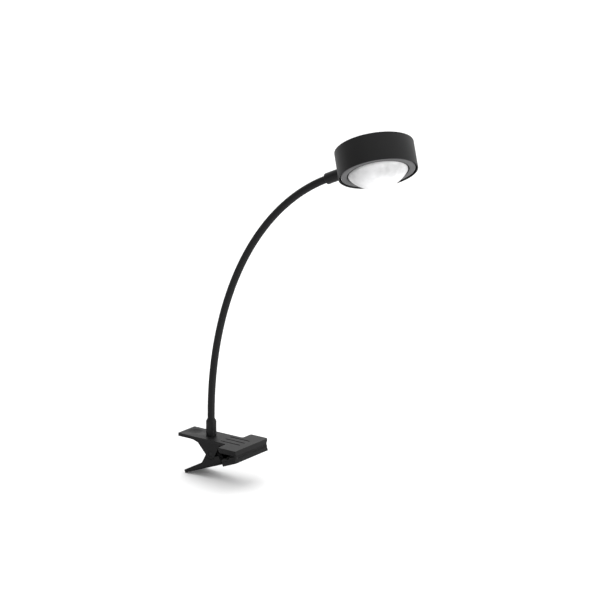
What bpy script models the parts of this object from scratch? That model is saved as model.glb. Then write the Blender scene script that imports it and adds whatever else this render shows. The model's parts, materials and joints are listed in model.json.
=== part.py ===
"""Clip-on reading lamp: a spring clip, a bendable neck and a round head.

Metres, +Z up. +X runs from the clip's finger levers to its jaws, and the clip is mirrored in Y.
The origin is the middle of the upper jaw pad's rear land, where the clip rests on what it grips.
"""

import math

import bmesh
import bpy
from mathutils import Matrix, Vector

MM = 0.001

# Clip, upper half
PLATE_TOP = 6.0 * MM
PLATE_THICKNESS = 3.4 * MM
LEVER_WIDTH = 27.2 * MM
LEVER_END_X = -69.2 * MM
JAW_WIDTH = 54.8 * MM
JAW_REAR_X = -5.0 * MM
JAW_FRONT_X = 17.1 * MM
EAR_THICKNESS = 2.8 * MM
EAR_RADIUS = 5.6 * MM
EAR_FILLET = 26.6 * MM
EAR_FILLET_TURN = math.radians(23.5)
EAR_REAR_SLOPE = math.radians(47)
EAR_FRONT_SLOPE = math.radians(63)
SKIRT_UNDER = 0.3 * MM
SKIRT_WALL = 2.0 * MM
SKIRT_INSET = 1.0 * MM
GROOVE_LENGTH = 25.2 * MM
GROOVE_WIDTH = 1.6 * MM
GROOVE_DEPTH = 0.8 * MM
GROOVE_PITCH = 8.0 * MM
GROOVE_REAR_X = -17.0 * MM
DISH_X = -56.9 * MM
DISH_RADIUS = 8.3 * MM
DISH_DEPTH = 1.2 * MM

# Clip, pivot and lower half. The lower half lies on a slope; its own X runs up that slope
PIVOT = Vector((-26.4, 0.0, -8.8)) * MM
PIN_RADIUS = 1.9 * MM
PIN_HEAD_RADIUS = 2.5 * MM
LOWER_SLOPE = math.radians(21)
LOWER_DROP = 13.3 * MM
LOWER_THICKNESS = 3.2 * MM
LOWER_LEVER_REACH = 41.6 * MM
LOWER_JAW_REAR = 23.4 * MM
LOWER_JAW_FRONT = 42.2 * MM
LOWER_JAW_STEP = 0.7 * MM
LOWER_EAR_RADIUS = 5.3 * MM
LOWER_EAR_THICKNESS = 2.5 * MM
SPRING_WIRE = 0.7 * MM
SPRING_RADIUS = 4.0 * MM
SPRING_TURNS = 5

# Pads
PAD_INSET = 0.5 * MM
UPPER_PAD_THICKNESS = 2.3 * MM
LOWER_PAD_THICKNESS = 2.7 * MM
LOWER_PAD_LIP = 1.6 * MM
LOWER_PAD_OVERHANG = 1.0 * MM
RAIL_GROOVE_WIDTH = 3.0 * MM
RAIL_GROOVE_DEPTH = 1.2 * MM
RIB_PITCH = 3.5 * MM
RIB_WIDTH = 1.9 * MM
RIB_COUNT = 15
RIB_DEPTH = 1.6 * MM

# Neck: it leaves the clip straight up and bends by BEND_STEADY + BEND_LATE in all
NECK_X = -35.6 * MM
NECK_LENGTH = 330.2 * MM
NECK_RADIUS = 3.78 * MM
NECK_TURN = math.radians(9.45)
BEND_STEADY = math.radians(40.5)
BEND_LATE = math.radians(26.0)
BEND_COUNT = 8
BEND_GAP = 2.6 * MM
FERRULE_RADIUS = 5.4 * MM
FERRULE_HEIGHT = 18.5 * MM
FERRULE_SHOULDER = 2.6 * MM
STUD_RADIUS = 3.0 * MM
STUD_BORE = 1.6 * MM
SOCKET_BORE = 4.2 * MM
LEAD_RADIUS = 1.1 * MM

# Head: its axis is square to the neck's end and rolled round it
HEAD_RADIUS = 39.0 * MM
HEAD_DEPTH = 28.2 * MM
HEAD_ROLL = math.radians(-23.7)
SHELL_WALL = 1.1 * MM
RING_OUTER = 37.1 * MM
RING_INNER = 30.5 * MM
LENS_RADIUS = 29.0 * MM
LENS_SPHERE = 36.25 * MM
LENS_RISE = 14.0 * MM
COLLAR_RADIUS = 5.7 * MM
COLLAR_LENGTH = 18.9 * MM
SCREW_CIRCLE = 23.0 * MM

GAP = 0.3 * MM
OVERLAP = 1.0 * MM

BLACK = (0.028, 0.028, 0.029)
MATERIALS = {
    # name: colour, roughness, metallic
    "clip_plastic": (BLACK, 0.5, 0.0),
    "pad_rubber": ((0.022, 0.022, 0.023), 0.8, 0.0),
    "neck_sleeve": ((0.018, 0.018, 0.019), 0.55, 0.0),
    "black_paint": (BLACK, 0.45, 0.0),
    "steel": ((0.55, 0.55, 0.56), 0.35, 1.0),
    "spring_steel": ((0.42, 0.42, 0.44), 0.3, 1.0),
    "lead_sheath": ((0.03, 0.03, 0.03), 0.6, 0.0),
    "ring_grey": ((0.15, 0.15, 0.155), 0.5, 0.0),
    "lens_clear": ((0.85, 0.86, 0.88), 0.2, 0.0),
    "reflector_white": ((0.85, 0.85, 0.84), 0.5, 0.0),
    "board_white": ((0.75, 0.76, 0.75), 0.5, 0.0),
    "led_phosphor": ((0.85, 0.65, 0.2), 0.4, 0.0),
    "aluminium": ((0.7, 0.7, 0.71), 0.35, 1.0),
}


def clear_scene():
    for item in list(bpy.data.objects):
        bpy.data.objects.remove(item)


def material(name):
    found = bpy.data.materials.get(name)
    if found:
        return found
    colour, roughness, metallic = MATERIALS[name]
    made = bpy.data.materials.new(name)
    made.use_nodes = True
    shader = made.node_tree.nodes["Principled BSDF"]
    shader.inputs["Base Color"].default_value = (*colour, 1.0)
    shader.inputs["Roughness"].default_value = roughness
    shader.inputs["Metallic"].default_value = metallic
    return made


def frame(name, place, parent=None):
    """An empty whose matrix is place, in world space. Pieces on it are modelled in its own axes."""
    empty = bpy.data.objects.new(name, None)
    bpy.context.collection.objects.link(empty)
    empty.parent = parent
    empty.matrix_world = place
    bpy.context.view_layer.update()
    return empty


def finish_mesh(name, shape, finish, base, smooth=True):
    bmesh.ops.recalc_face_normals(shape, faces=shape.faces)
    mesh = bpy.data.meshes.new(name)
    shape.to_mesh(mesh)
    shape.free()
    if smooth:
        mesh.shade_smooth()
        mesh.set_sharp_from_angle(angle=math.radians(35))
    piece = bpy.data.objects.new(name, mesh)
    bpy.context.collection.objects.link(piece)
    if finish:
        mesh.materials.append(material(finish))
    piece.parent = base
    return piece


def prism(name, outline, low, high, across, finish=None, base=None):
    """A flat outline pushed along an axis: across says how (a, b, height) becomes (x, y, z)."""
    shape = bmesh.new()
    bottom = [shape.verts.new(across(a, b, low)) for a, b in outline]
    top = [shape.verts.new(across(a, b, high)) for a, b in outline]
    shape.faces.new(bottom)
    shape.faces.new(list(reversed(top)))
    for i, start in enumerate(bottom):
        j = (i + 1) % len(bottom)
        shape.faces.new((start, top[i], top[j], bottom[j]))
    return finish_mesh(name, shape, finish, base)


def flat(a, b, height):
    return (a, b, height)


def side(a, b, height):
    return (a, height, b)


def front(a, b, height):
    return (height, a, b)


def block(name, low, high, finish=None, base=None):
    outline = [(low[0], low[1]), (high[0], low[1]), (high[0], high[1]), (low[0], high[1])]
    return prism(name, outline, low[2], high[2], flat, finish, base)


def turned(name, profile, sides, finish=None, base=None, place=None):
    """A profile of (radius, height) turned about Z. A point at radius 0 closes the end, flat if it can."""
    shape = bmesh.new()
    rings = []
    for radius, height in profile:
        if radius < 1e-7:
            rings.append([shape.verts.new((0, 0, height))])
            continue
        angles = [math.tau * i / sides for i in range(sides)]
        rings.append([shape.verts.new((radius * math.cos(a), radius * math.sin(a), height)) for a in angles])
    closed = profile[0][0] > 1e-7
    pairs = list(zip(rings, rings[1:] + rings[:1])) if closed else list(zip(rings, rings[1:]))
    for low, high in pairs:
        if len(low) + len(high) > sides + 1 or low[0].co.z != high[0].co.z:
            for i in range(sides):
                j = (i + 1) % sides
                corners = [low[i % len(low)], low[j % len(low)], high[j % len(high)], high[i % len(high)]]
                shape.faces.new(list(dict.fromkeys(corners)))
        else:
            shape.faces.new(max(low, high, key=len))
    loose = [vert for vert in shape.verts if not vert.link_faces]
    bmesh.ops.delete(shape, geom=loose, context="VERTS")
    if place:
        bmesh.ops.transform(shape, matrix=place, verts=shape.verts)
    return finish_mesh(name, shape, finish, base)


def rod(name, radius, low, high, sides, finish=None, base=None, place=None):
    return turned(name, [(0, low), (radius, low), (radius, high), (0, high)], sides, finish, base, place)


def tube(name, outer, inner, low, high, sides, finish=None, base=None, place=None):
    profile = [(inner, low), (outer, low), (outer, high), (inner, high)]
    return turned(name, profile, sides, finish, base, place)


def combine(piece, tools, operation):
    """Joins tools to piece, or cuts them from it, and removes them."""
    for tool in tools:
        step = piece.modifiers.new("combine", "BOOLEAN")
        step.operation = operation
        step.solver = "EXACT"
        step.object = tool
        bpy.context.view_layer.update()
        result = piece.evaluated_get(bpy.context.evaluated_depsgraph_get())
        mesh = bpy.data.meshes.new_from_object(result)
        piece.modifiers.clear()
        piece.data = mesh
        bpy.data.objects.remove(tool)
    shape = bmesh.new()
    shape.from_mesh(piece.data)
    bmesh.ops.remove_doubles(shape, verts=shape.verts, dist=0.002 * MM)
    shape.to_mesh(piece.data)
    shape.free()
    piece.data.name = piece.name
    piece.data.shade_smooth()
    piece.data.set_sharp_from_angle(angle=math.radians(35))
    return piece


def arc(centre, radius, start, stop, steps):
    """Points on a circle from one angle to another, in degrees."""
    angles = [math.radians(start + (stop - start) * i / steps) for i in range(steps + 1)]
    return [(centre[0] + radius * math.cos(a), centre[1] + radius * math.sin(a)) for a in angles]


def along_y(x, z):
    """Turns a shape made about Z so that it lies along Y through (x, z)."""
    return Matrix.Translation((x, 0, z)) @ Matrix.Rotation(-math.pi / 2, 4, "X")


def t_outline(rear, neck, front_edge, lever_width, jaw_width):
    half, wide = lever_width / 2, jaw_width / 2
    return [(rear, -half), (neck, -half), (neck, -wide), (front_edge, -wide),
            (front_edge, wide), (neck, wide), (neck, half), (rear, half)]


def upper_jaw(base):
    underside = PLATE_TOP - PLATE_THICKNESS
    outline = t_outline(LEVER_END_X, JAW_REAR_X, JAW_FRONT_X, LEVER_WIDTH, JAW_WIDTH)
    jaw = prism("upper_jaw", outline, underside, PLATE_TOP, flat, "clip_plastic", base)
    centre = (PIVOT.x, PIVOT.z)
    rear_touch = (centre[0] - EAR_RADIUS * math.sin(EAR_REAR_SLOPE),
                  centre[1] - EAR_RADIUS * math.cos(EAR_REAR_SLOPE))
    front_touch = (centre[0] + EAR_RADIUS * math.sin(EAR_FRONT_SLOPE),
                   centre[1] - EAR_RADIUS * math.cos(EAR_FRONT_SLOPE))
    corner_x = rear_touch[0] - (underside - rear_touch[1]) / math.tan(EAR_REAR_SLOPE)
    front_x = front_touch[0] + (underside - front_touch[1]) / math.tan(EAR_FRONT_SLOPE)
    run = EAR_FILLET * math.sin(EAR_FILLET_TURN)
    drop = EAR_FILLET * (1 - math.cos(EAR_FILLET_TURN))
    start_x = corner_x + drop / math.tan(EAR_REAR_SLOPE) - run
    fillet = arc((start_x, underside - EAR_FILLET), EAR_FILLET, 90, 90 - math.degrees(EAR_FILLET_TURN), 6)
    foot = arc(centre, EAR_RADIUS, 270 - math.degrees(EAR_REAR_SLOPE), 270 + math.degrees(EAR_FRONT_SLOPE), 12)
    inside = underside + OVERLAP
    ear = [(start_x, inside)] + fillet + foot + [(front_x, underside), (front_x, inside)]
    ears = []
    for hand in (-1, 1):
        low, high = sorted((hand * LEVER_WIDTH / 2, hand * (LEVER_WIDTH / 2 - EAR_THICKNESS)))
        ears.append(prism("ear", ear, low, high, side))
    half = JAW_WIDTH / 2
    end = half - SKIRT_INSET
    skirt = block("skirt", (JAW_REAR_X, -end, SKIRT_UNDER), (JAW_FRONT_X, end, inside))
    combine(jaw, ears + [skirt], "UNION")
    pocket_low = (JAW_REAR_X + SKIRT_WALL, -half + SKIRT_WALL, -OVERLAP)
    pocket_high = (JAW_FRONT_X - SKIRT_WALL, half - SKIRT_WALL, underside)
    combine(jaw, [block("pad_pocket", pocket_low, pocket_high)], "DIFFERENCE")
    across = along_y(PIVOT.x, PIVOT.z)
    cuts = [rod("pin_hole", PIN_RADIUS + GAP, -LEVER_WIDTH, LEVER_WIDTH, 24, place=across)]
    counterbore = (-LEVER_WIDTH, -LEVER_WIDTH / 2 + OVERLAP)
    cuts.append(rod("counterbore", PIN_HEAD_RADIUS + GAP, *counterbore, 24, place=across))
    stud_place = Matrix.Translation((NECK_X, 0, 0))
    cuts.append(rod("stud_hole", STUD_RADIUS + GAP, -OVERLAP, PLATE_TOP + OVERLAP, 24, place=stud_place))
    ball = (DISH_RADIUS**2 + DISH_DEPTH**2) / (2 * DISH_DEPTH)
    bowl = [(0, -DISH_DEPTH)]
    for step in range(1, 6):
        radius = 1.2 * DISH_RADIUS * step / 5
        bowl.append((radius, ball - DISH_DEPTH - math.sqrt(ball**2 - radius**2)))
    bowl += [(bowl[-1][0], 3 * MM), (0, 3 * MM)]
    cuts.append(turned("dish", bowl, 32, place=Matrix.Translation((DISH_X, 0, PLATE_TOP))))
    for row in (-1, 0, 1):
        middle = row * GROOVE_PITCH
        low = (GROOVE_REAR_X, middle - GROOVE_WIDTH / 2, PLATE_TOP - GROOVE_DEPTH)
        high = (GROOVE_REAR_X + GROOVE_LENGTH, middle + GROOVE_WIDTH / 2, PLATE_TOP + OVERLAP)
        cuts.append(block("groove", low, high))
    return combine(jaw, cuts, "DIFFERENCE")


def upper_jaw_pad(base):
    inset = SKIRT_WALL + GAP
    half = JAW_WIDTH / 2 - inset
    rear, front_edge = JAW_REAR_X + inset, JAW_FRONT_X - inset
    pad = block("upper_jaw_pad", (rear, -half, 0), (front_edge, half, UPPER_PAD_THICKNESS), "pad_rubber", base)
    low = (-rear, -JAW_WIDTH, -OVERLAP)
    high = (-rear + RAIL_GROOVE_WIDTH, JAW_WIDTH, RAIL_GROOVE_DEPTH)
    return combine(pad, [block("rail_groove", low, high)], "DIFFERENCE")


def pivot_pin(base):
    outside = LEVER_WIDTH / 2
    tail = outside + 1.4 * MM
    head_face = -outside + 0.2 * MM
    head_back = -outside + OVERLAP - GAP
    profile = [(0, head_face), (PIN_HEAD_RADIUS, head_face), (PIN_HEAD_RADIUS, head_back),
               (PIN_RADIUS, head_back), (PIN_RADIUS, tail), (0, tail)]
    across = along_y(PIVOT.x, PIVOT.z)
    turned("pivot_pin", profile, 24, "black_paint", base, across)
    ring = (outside + GAP, outside + GAP + 0.7 * MM)
    tube("pin_retainer", 3.4 * MM, PIN_RADIUS + GAP, *ring, 20, "spring_steel", base, across)


def torsion_spring(base):
    """Coils round the pin; one leg presses on each lever."""
    half = 5.6 * MM
    steps_per_turn = 14
    turns = SPRING_TURNS + 0.36
    count = round(turns * steps_per_turn)
    first = math.radians(118)
    points = []
    for i in range(count + 1):
        share = i / count
        angle = first + math.tau * turns * share
        y = half - 2 * half * share
        points.append((PIVOT.x + SPRING_RADIUS * math.cos(angle), y, PIVOT.z + SPRING_RADIUS * math.sin(angle)))
    under_plate = PLATE_TOP - PLATE_THICKNESS - GAP - SPRING_WIRE
    points.insert(0, (NECK_X - 14.0 * MM, half + 1.2 * MM, under_plate))
    for x in (NECK_X - 4.5 * MM, NECK_X - 14.0 * MM):
        points.append((x, -half, lower_floor(x) + GAP + 1.2 * SPRING_WIRE))
    path = bpy.data.curves.new("torsion_spring", "CURVE")
    path.dimensions = "3D"
    line = path.splines.new("POLY")
    line.points.add(len(points) - 1)
    for point, place in zip(line.points, points):
        point.co = (*place, 1.0)
    path.bevel_depth = SPRING_WIRE
    path.bevel_resolution = 2
    path.use_fill_caps = True
    path.materials.append(material("spring_steel"))
    spring = bpy.data.objects.new("torsion_spring", path)
    bpy.context.collection.objects.link(spring)
    spring.parent = base


def lower_floor(x):
    """World height of the lower lever's upper side at x."""
    slant = math.tan(LOWER_SLOPE)
    drop = (LOWER_DROP - LOWER_THICKNESS) / math.cos(LOWER_SLOPE)
    return PIVOT.z - drop + (x - PIVOT.x) * slant


def tangent_point(point, radius, turn):
    """Where the line from point touches a circle about (0, 0); turn is +1 or -1."""
    reach = math.hypot(*point)
    angle = math.atan2(point[1], point[0]) + turn * math.acos(radius / reach)
    return (radius * math.cos(angle), radius * math.sin(angle)), math.degrees(angle)


def lower_jaw(base):
    bottom, floor = -LOWER_DROP, -LOWER_DROP + LOWER_THICKNESS
    outline = t_outline(-LOWER_LEVER_REACH, LOWER_JAW_REAR, LOWER_JAW_FRONT, LEVER_WIDTH, JAW_WIDTH)
    jaw = prism("lower_jaw", outline, bottom, floor, flat, "clip_plastic", base)
    shoulder = (-14.8 * MM, -6.9 * MM)
    inner_shoulder = (-17.5 * MM, -6.9 * MM)
    brow = (-8.5 * MM, 0.6 * MM)
    toe = (10.0 * MM, -4.2 * MM)
    sunk = bottom + OVERLAP
    pocket = EAR_RADIUS + 2 * GAP
    start = math.degrees(math.atan2(shoulder[1], shoulder[0])) + 360
    cheek = [(-LOWER_LEVER_REACH + OVERLAP, sunk), (-LOWER_LEVER_REACH + OVERLAP, floor + 0.1 * MM), shoulder]
    cheek += arc((0, 0), pocket, start, 322, 10) + [toe, (toe[0] + OVERLAP, sunk)]
    rear_touch, rear_angle = tangent_point(brow, LOWER_EAR_RADIUS, -1)
    front_touch, front_angle = tangent_point(toe, LOWER_EAR_RADIUS, 1)
    ear = [(inner_shoulder[0], sunk), inner_shoulder, brow]
    ear += arc((0, 0), LOWER_EAR_RADIUS, rear_angle % 360, front_angle % 360, 12)
    ear += [toe, (toe[0], sunk)]
    low = (LOWER_JAW_REAR, -JAW_WIDTH / 2, bottom - LOWER_JAW_STEP)
    parts = [block("step", low, (LOWER_JAW_FRONT, JAW_WIDTH / 2, sunk), base=base)]
    inner = LEVER_WIDTH / 2 - EAR_THICKNESS - GAP
    for hand in (-1, 1):
        near = hand * (inner - LOWER_EAR_THICKNESS)
        parts.append(prism("cheek", cheek, *sorted((near, hand * LEVER_WIDTH / 2)), side, base=base))
        parts.append(prism("ear", ear, *sorted((near, hand * inner)), side, base=base))
    combine(jaw, parts, "UNION")
    across = along_y(0, 0)
    hole = rod("pin_hole", PIN_RADIUS + GAP, -LEVER_WIDTH, LEVER_WIDTH, 24, base=base, place=across)
    return combine(jaw, [hole], "DIFFERENCE")


def lower_jaw_pad(base):
    """A ribbed slab: the ribs run forward to a plain lip at the front."""
    bottom = -LOWER_DROP + LOWER_THICKNESS + GAP
    top = bottom + LOWER_PAD_THICKNESS
    half = JAW_WIDTH / 2 - PAD_INSET
    valley = top - RIB_DEPTH
    outline = [(-half, bottom), (-half, top)]
    for slot in range(RIB_COUNT - 1):
        middle = (slot - (RIB_COUNT - 2) / 2) * RIB_PITCH
        left, right = middle - (RIB_PITCH - RIB_WIDTH) / 2, middle + (RIB_PITCH - RIB_WIDTH) / 2
        outline += [(left, top), (left, valley), (right, valley), (right, top)]
    outline += [(half, top), (half, bottom)]
    rear, ahead = LOWER_JAW_REAR + PAD_INSET, LOWER_JAW_FRONT + LOWER_PAD_OVERHANG
    pad = prism("lower_jaw_pad", outline, rear, ahead - 0.5 * LOWER_PAD_LIP, front, "pad_rubber", base)
    lip = block("lip", (ahead - LOWER_PAD_LIP, -half, bottom), (ahead, half, top), base=base)
    combine(pad, [lip], "UNION")
    middle = rear + 9.0 * MM
    low = (middle - RAIL_GROOVE_WIDTH / 2, -JAW_WIDTH, top - RAIL_GROOVE_DEPTH)
    high = (middle + RAIL_GROOVE_WIDTH / 2, JAW_WIDTH, top + OVERLAP)
    return combine(pad, [block("rail_groove", low, high, base=base)], "DIFFERENCE")


def hex_nut(name, across_flats, bore, low, high, finish, base, place):
    reach = across_flats / math.sqrt(3)
    nut = turned(name, [(0, low), (reach, low), (reach, high), (0, high)], 6, finish, base, place)
    return combine(nut, [rod("bore", bore, low - OVERLAP, high + OVERLAP, 20, base=base, place=place)],
                   "DIFFERENCE")


def base_fittings(base):
    """The ferrule that holds the neck, and what clamps it to the plate."""
    place = Matrix.Translation((NECK_X, 0, 0))
    foot = PLATE_TOP + GAP
    crown = PLATE_TOP + FERRULE_HEIGHT
    socket = PLATE_TOP + 3.0 * MM
    stud_end = -3.9 * MM
    lip = SOCKET_BORE + 0.4 * MM
    profile = [(STUD_BORE, stud_end), (STUD_RADIUS, stud_end), (STUD_RADIUS, foot), (FERRULE_RADIUS, foot),
               (FERRULE_RADIUS, crown - FERRULE_SHOULDER), (lip, crown), (SOCKET_BORE, crown),
               (SOCKET_BORE, socket), (STUD_BORE, socket)]
    turned("base_ferrule", profile, 32, "black_paint", base, place)
    underside = PLATE_TOP - PLATE_THICKNESS
    hole = STUD_RADIUS + GAP
    washer = (underside - GAP - 0.8 * MM, underside - GAP)
    tube("ferrule_washer", 5.0 * MM, hole, *washer, 24, "steel", base, place)
    nut_top = washer[0] - GAP
    hex_nut("ferrule_nut", 8.0 * MM, hole, nut_top - 3.2 * MM, nut_top, "steel", base, place)
    gland = (stud_end - GAP - 2.4 * MM, stud_end - GAP)
    tube("cable_grommet", 3.4 * MM, LEAD_RADIUS + GAP, *gland, 20, "pad_rubber", base, place)


def bend_angle(length):
    """How far the neck has bent from upright at a length along it."""
    share = (length - FERRULE_HEIGHT) / (NECK_LENGTH - FERRULE_HEIGHT)
    share = min(max(share, 0.0), 1.0)
    return BEND_STEADY * share + BEND_LATE * share**3


def neck_direction(length):
    angle = bend_angle(length)
    return Vector((math.sin(angle) * math.cos(NECK_TURN), math.sin(angle) * math.sin(NECK_TURN),
                   math.cos(angle)))


def neck_point(length):
    steps = 400
    step = length / steps
    point = Vector((NECK_X, 0, PLATE_TOP))
    for i in range(steps):
        point += neck_direction((i + 0.5) * step) * step
    return point


def axes(origin, up, across):
    """A frame at origin whose Z is up and whose Y is across."""
    z = up.normalized()
    x = across.cross(z).normalized()
    y = z.cross(x)
    place = Matrix((x, y, z)).transposed().to_4x4()
    place.translation = origin
    return place


NECK_SIDE = Vector((-math.sin(NECK_TURN), math.cos(NECK_TURN), 0.0))


def bend_lengths():
    """Where the neck's joints are, as lengths along it."""
    pitch = (NECK_LENGTH - FERRULE_HEIGHT) / BEND_COUNT
    return [FERRULE_HEIGHT + (i + 0.5) * pitch for i in range(BEND_COUNT)]


def head_place():
    """The head's frame: X runs away from the neck, Z is the head's axis and points to its back."""
    along = neck_direction(NECK_LENGTH)
    centre = neck_point(NECK_LENGTH) + along * (COLLAR_LENGTH + HEAD_RADIUS)
    level = axes(centre, along.cross(NECK_SIDE), NECK_SIDE)
    return Matrix.Translation(centre) @ Matrix.Rotation(HEAD_ROLL, 4, along) @ level.to_3x3().to_4x4()


def wound_hose(name, low, high, base):
    """A steel hose with a wavy outside, as a flat strip wound into a tube has."""
    outer, inner, valley = 2.6 * MM, 1.6 * MM, 2.25 * MM
    count = round((high - low) / (9.0 * MM))
    pitch = (high - low) / count
    profile = [(inner, low)]
    for i in range(count):
        start = low + i * pitch
        profile += [(valley, start), (outer, start + 0.25 * pitch), (outer, start + 0.75 * pitch)]
    profile += [(valley, high), (inner, high)]
    turned(name, profile, 12, "steel", base)


def neck(base):
    """One straight stretch for each joint, and one before the first. Each is sleeve, hose and lead."""
    lengths = bend_lengths()
    joints = [neck_point(length) for length in lengths]
    end = neck_point(NECK_LENGTH)
    starts = [Vector((NECK_X, 0, PLATE_TOP))] + joints
    stops = joints + [end]
    parent = base
    for i, (start, stop) in enumerate(zip(starts, stops), start=1):
        reach = (stop - start).length
        place = frame(f"neck_joint_{i}", axes(start, stop - start, NECK_SIDE), parent)
        low = BEND_GAP / 2 if i > 1 else 3.0 * MM + GAP
        high = reach - BEND_GAP / 2 if i <= BEND_COUNT else reach + 2.6 * MM
        sleeve_bore = NECK_RADIUS - 0.88 * MM
        tube(f"neck_sleeve_{i}", NECK_RADIUS, sleeve_bore, low, high, 20, "neck_sleeve", place)
        wound_hose(f"neck_hose_{i}", low, high, place)
        lead_low = low if i > 1 else -PLATE_TOP - 3.0 * MM
        rod(f"neck_lead_{i}", LEAD_RADIUS, lead_low, high, 10, "lead_sheath", place)
        parent = place
    return parent


def collar(base):
    """The collar on the neck's end, its hollow stud, and the washer and nut inside the head."""
    place = head_place() @ Matrix.Rotation(math.pi / 2, 4, "Y")
    neck_end = -(HEAD_RADIUS + COLLAR_LENGTH)
    face = -(HEAD_RADIUS + GAP)
    socket = neck_end + 4.0 * MM
    stud_end = -30.0 * MM
    profile = [(STUD_BORE, stud_end), (STUD_BORE, socket), (SOCKET_BORE, socket), (SOCKET_BORE, neck_end),
               (SOCKET_BORE + 0.6 * MM, neck_end)]
    profile += arc_profile(COLLAR_RADIUS, neck_end, 1.8 * MM)
    profile += [(COLLAR_RADIUS, face), (STUD_RADIUS, face), (STUD_RADIUS, stud_end)]
    holder = frame("collar_frame", place, base)
    turned("head_collar", profile, 32, "black_paint", holder)
    bore = STUD_RADIUS + GAP
    tube("friction_washer", 5.6 * MM, bore, -35.3 * MM, -34.5 * MM, 24, "pad_rubber", holder)
    hex_nut("collar_nut", 8.0 * MM, bore, -34.2 * MM, -31.0 * MM, "steel", holder, Matrix.Identity(4))


def arc_profile(radius, end, rounding):
    """A rounded shoulder in a turned profile, from its end face out to its side."""
    centre = (radius - rounding * 0.5, end + rounding)
    return [(centre[0] + 0.5 * rounding * math.sin(a), centre[1] - rounding * math.cos(a))
            for a in (math.radians(15 * i) for i in range(1, 7))]


def at_depth(depth):
    """Height in the head's frame of a depth behind the shell's rim, in mm."""
    return depth * MM - HEAD_DEPTH / 2


def around(count, radius, start=0.0):
    for i in range(count):
        angle = math.radians(start) + math.tau * i / count
        yield radius * math.cos(angle), radius * math.sin(angle)


def head_shell(base):
    back = HEAD_DEPTH / 2
    inner = HEAD_RADIUS - SHELL_WALL
    roof = back - 1.4 * MM
    rim = -HEAD_DEPTH / 2
    profile = [(0, roof), (inner, roof), (inner, rim), (HEAD_RADIUS, rim), (HEAD_RADIUS, back - 1.2 * MM),
               (HEAD_RADIUS - 0.35 * MM, back - 0.35 * MM), (HEAD_RADIUS - 1.2 * MM, back), (0, back)]
    shell = turned("head_shell", profile, 72, "black_paint", base)
    boss_face = -35.6 * MM
    low = (-inner - 0.4 * MM, -6.5 * MM, -6.2 * MM)
    high = (boss_face, 6.5 * MM, 6.5 * MM)
    posts = [block("boss", low, high, base=base)]
    for x, y in around(3, SCREW_CIRCLE, 60):
        place = Matrix.Translation((x, y, 0))
        posts.append(rod("post", 3.0 * MM, at_depth(18.0), roof + 0.7 * MM, 16, base=base, place=place))
    combine(shell, posts, "UNION")
    across = Matrix.Rotation(math.pi / 2, 4, "Y")
    cuts = [rod("stud_hole", STUD_RADIUS + GAP, -HEAD_RADIUS - OVERLAP, -30 * MM, 24, base=base, place=across)]
    for x, y in around(3, SCREW_CIRCLE, 60):
        place = Matrix.Translation((x, y, 0))
        cuts.append(rod("pilot", 1.4 * MM, at_depth(17.0), at_depth(24.0), 12, base=base, place=place))
    return combine(shell, cuts, "DIFFERENCE")


def front_ring(base):
    face, back, skirt = at_depth(0.8), at_depth(2.4), at_depth(7.5)
    skirt_inner = RING_OUTER - 1.1 * MM
    profile = [(RING_INNER, back), (RING_INNER, face + 0.3 * MM), (RING_INNER + 0.3 * MM, face),
               (RING_OUTER - 0.4 * MM, face), (RING_OUTER, face + 0.4 * MM), (RING_OUTER, skirt),
               (skirt_inner, skirt), (skirt_inner, back)]
    turned("front_ring", profile, 64, "ring_grey", base)
    tube("lens_gasket", RING_INNER - GAP, LENS_RADIUS + GAP, at_depth(1.2), at_depth(2.5), 56, "pad_rubber", base)


def lens(base):
    """A domed lens with a flange that is held behind the ring."""
    centre = LENS_SPHERE - LENS_RISE
    wall = 2.0 * MM
    steps = 7

    def dome(sphere, edge):
        points = []
        for i in range(steps + 1):
            radius = edge * i / steps
            points.append((radius, centre - math.sqrt(sphere**2 - radius**2) - HEAD_DEPTH / 2))
        return points

    outer = dome(LENS_SPHERE, LENS_RADIUS)
    inner = dome(LENS_SPHERE - wall, LENS_RADIUS - wall)
    flange = [(LENS_RADIUS, at_depth(2.8)), (31.5 * MM, at_depth(2.8)), (31.5 * MM, at_depth(4.3)),
              (LENS_RADIUS - wall, at_depth(4.3))]
    turned("lens", outer + flange + list(reversed(inner)), 48, "lens_clear", base)


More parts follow.
